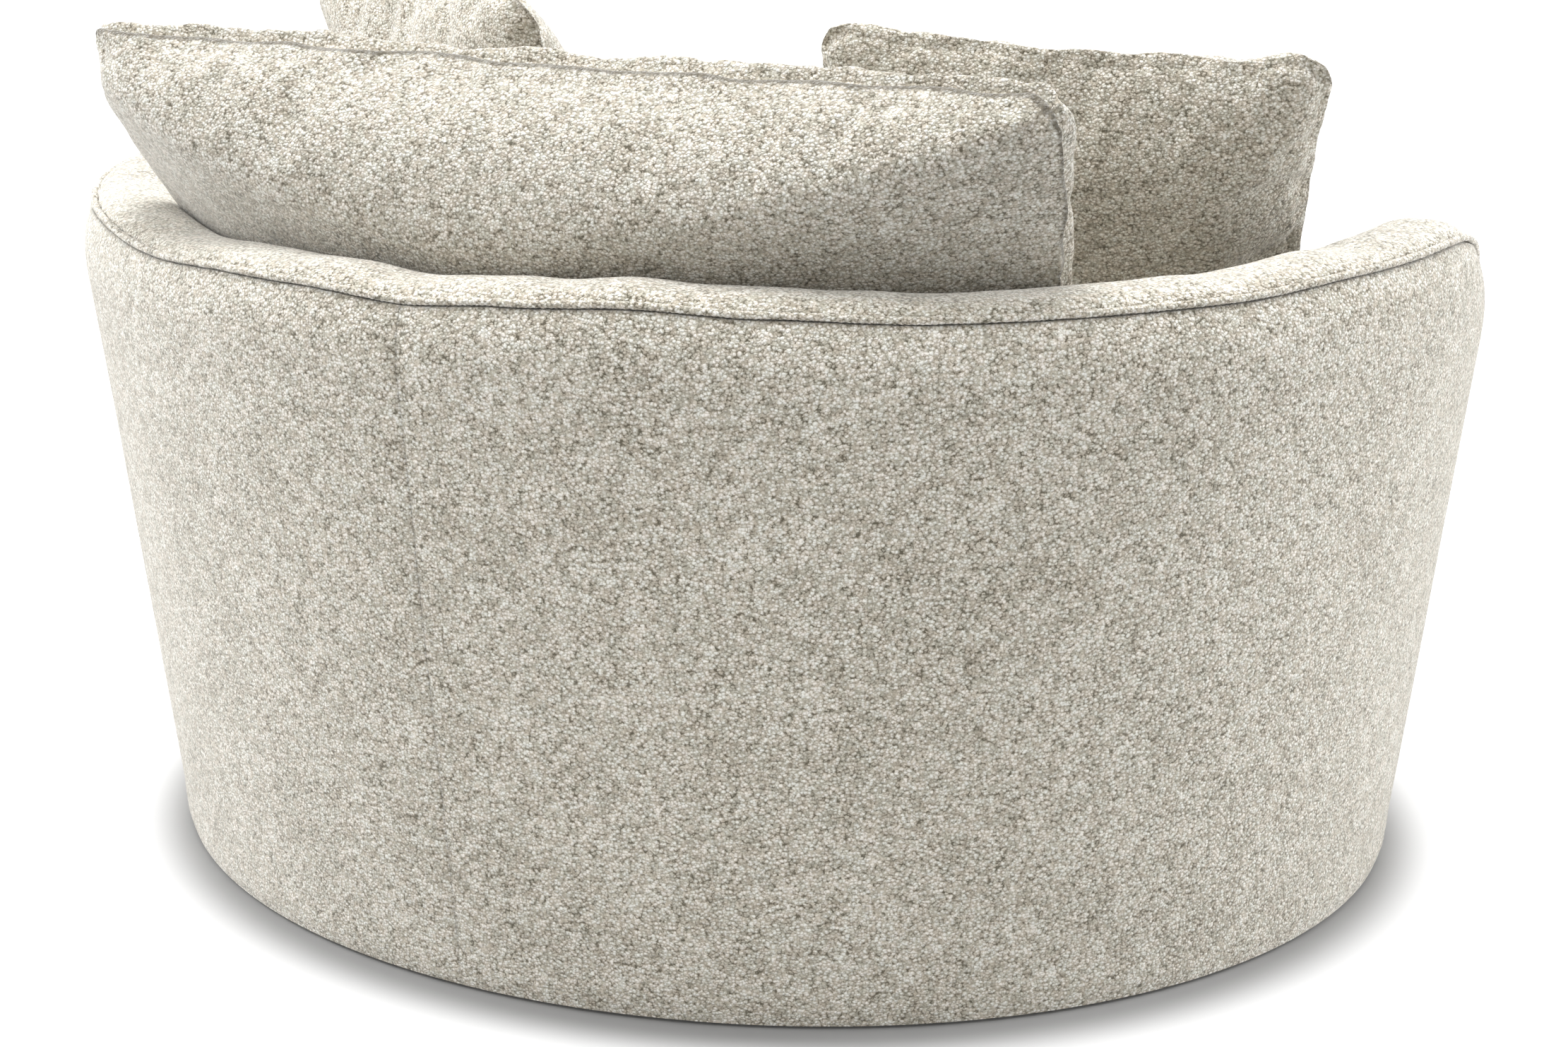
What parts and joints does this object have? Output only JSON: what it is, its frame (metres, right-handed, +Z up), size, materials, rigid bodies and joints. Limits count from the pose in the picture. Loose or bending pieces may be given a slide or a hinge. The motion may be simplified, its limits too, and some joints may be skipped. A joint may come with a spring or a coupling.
{
  "type": "swivel cuddle chair",
  "caption": "Round upholstered swivel armchair: padded tub on a concealed ball-race base, with loose seat, back and scatter cushions.",
  "frame": {"origin": "on the floor under the swivel axis, at the middle of the chair's footprint", "axes": "+Z up; the sitter faces -Y, so the back of the chair is towards +Y; +X is the sitter's left"},
  "size_m": [1.3556, 1.237, 0.8104],
  "materials": {
    "boucle_fabric": "cream and greige looped boucle weave",
    "seat_boucle": "cream and greige looped boucle weave over a fibre-wrapped core",
    "back_boucle": "cream and greige looped boucle weave over loose filling",
    "scatter_boucle": "cream and greige looped boucle weave over loose filling",
    "lining": "black spun-bonded lining cloth",
    "foam": null,
    "liner_board": "flexible upholstery board",
    "plywood": "unfinished birch plywood",
    "black_steel": "satin black powder coat",
    "zinc_steel": "bright zinc plate",
    "spring_steel": "oiled hardened steel",
    "glide_plastic": "moulded black nylon"
  },
  "bodies": {
    "base": {"floor_ring": "black_steel", "glide_1": "glide_plastic", "glide_2": "glide_plastic", "glide_3": "glide_plastic", "glide_4": "glide_plastic", "base_cross": "black_steel", "lower_race_plate": "zinc_steel", "centre_pin": "zinc_steel"},
    "cage": {"ball_cage": "spring_steel"},
    "tub": {"outer_cover_left": "boucle_fabric", "outer_cover_right": "boucle_fabric", "rim_band": "boucle_fabric", "rim_welt": "boucle_fabric", "inside_cover": "boucle_fabric", "arm_panel_left": "boucle_fabric", "arm_panel_right": "boucle_fabric", "front_cover": "boucle_fabric", "seat_cushion": "seat_boucle", "back_cushion": "back_boucle", "scatter_cushion_left": "scatter_boucle", "scatter_cushion_right": "scatter_boucle", "dust_cover": "lining", "deck_cloth": "lining", "back_foam": "foam", "rim_pad": "foam", "front_pad": "foam", "deck_pad": "foam", "outer_liner_left": "liner_board", "outer_liner_right": "liner_board", "front_liner": "liner_board", "bottom_ring": "plywood", "bottom_board": "plywood", "back_post_1": "plywood", "back_post_2": "plywood", "back_post_3": "plywood", "back_post_4": "plywood", "back_post_5": "plywood", "back_post_6": "plywood", "back_post_7": "plywood", "front_post_1": "plywood", "front_post_2": "plywood", "top_rail": "plywood", "front_rail": "plywood", "seat_ledge": "plywood", "seat_box_front": "plywood", "seat_box_rear": "plywood", "seat_box_left": "plywood", "seat_box_right": "plywood", "upper_race_plate": "zinc_steel", "plate_bolt_1": "zinc_steel", "plate_bolt_2": "zinc_steel", "plate_bolt_3": "zinc_steel", "plate_bolt_4": "zinc_steel", "front_spring_clip": "zinc_steel", "rear_spring_clip": "zinc_steel", "sinuous_spring_1": "spring_steel", "sinuous_spring_2": "spring_steel", "sinuous_spring_3": "spring_steel", "sinuous_spring_4": "spring_steel", "sinuous_spring_5": "spring_steel"}
  },
  "joints": [
    {"name": "swivel", "type": "hinge", "parent": "base", "child": "tub", "pos_m": [0, 0, 0.0442], "axis": [0, 0, 1], "continuous": true},
    {"name": "cage_roll", "type": "hinge", "parent": "base", "child": "cage", "pos_m": [0, 0, 0.0442], "axis": [0, 0, 1], "continuous": true}
  ],
  "couplings": [
    {"joint": "cage_roll", "follows": "swivel", "ratio": 0.5}
  ]
}
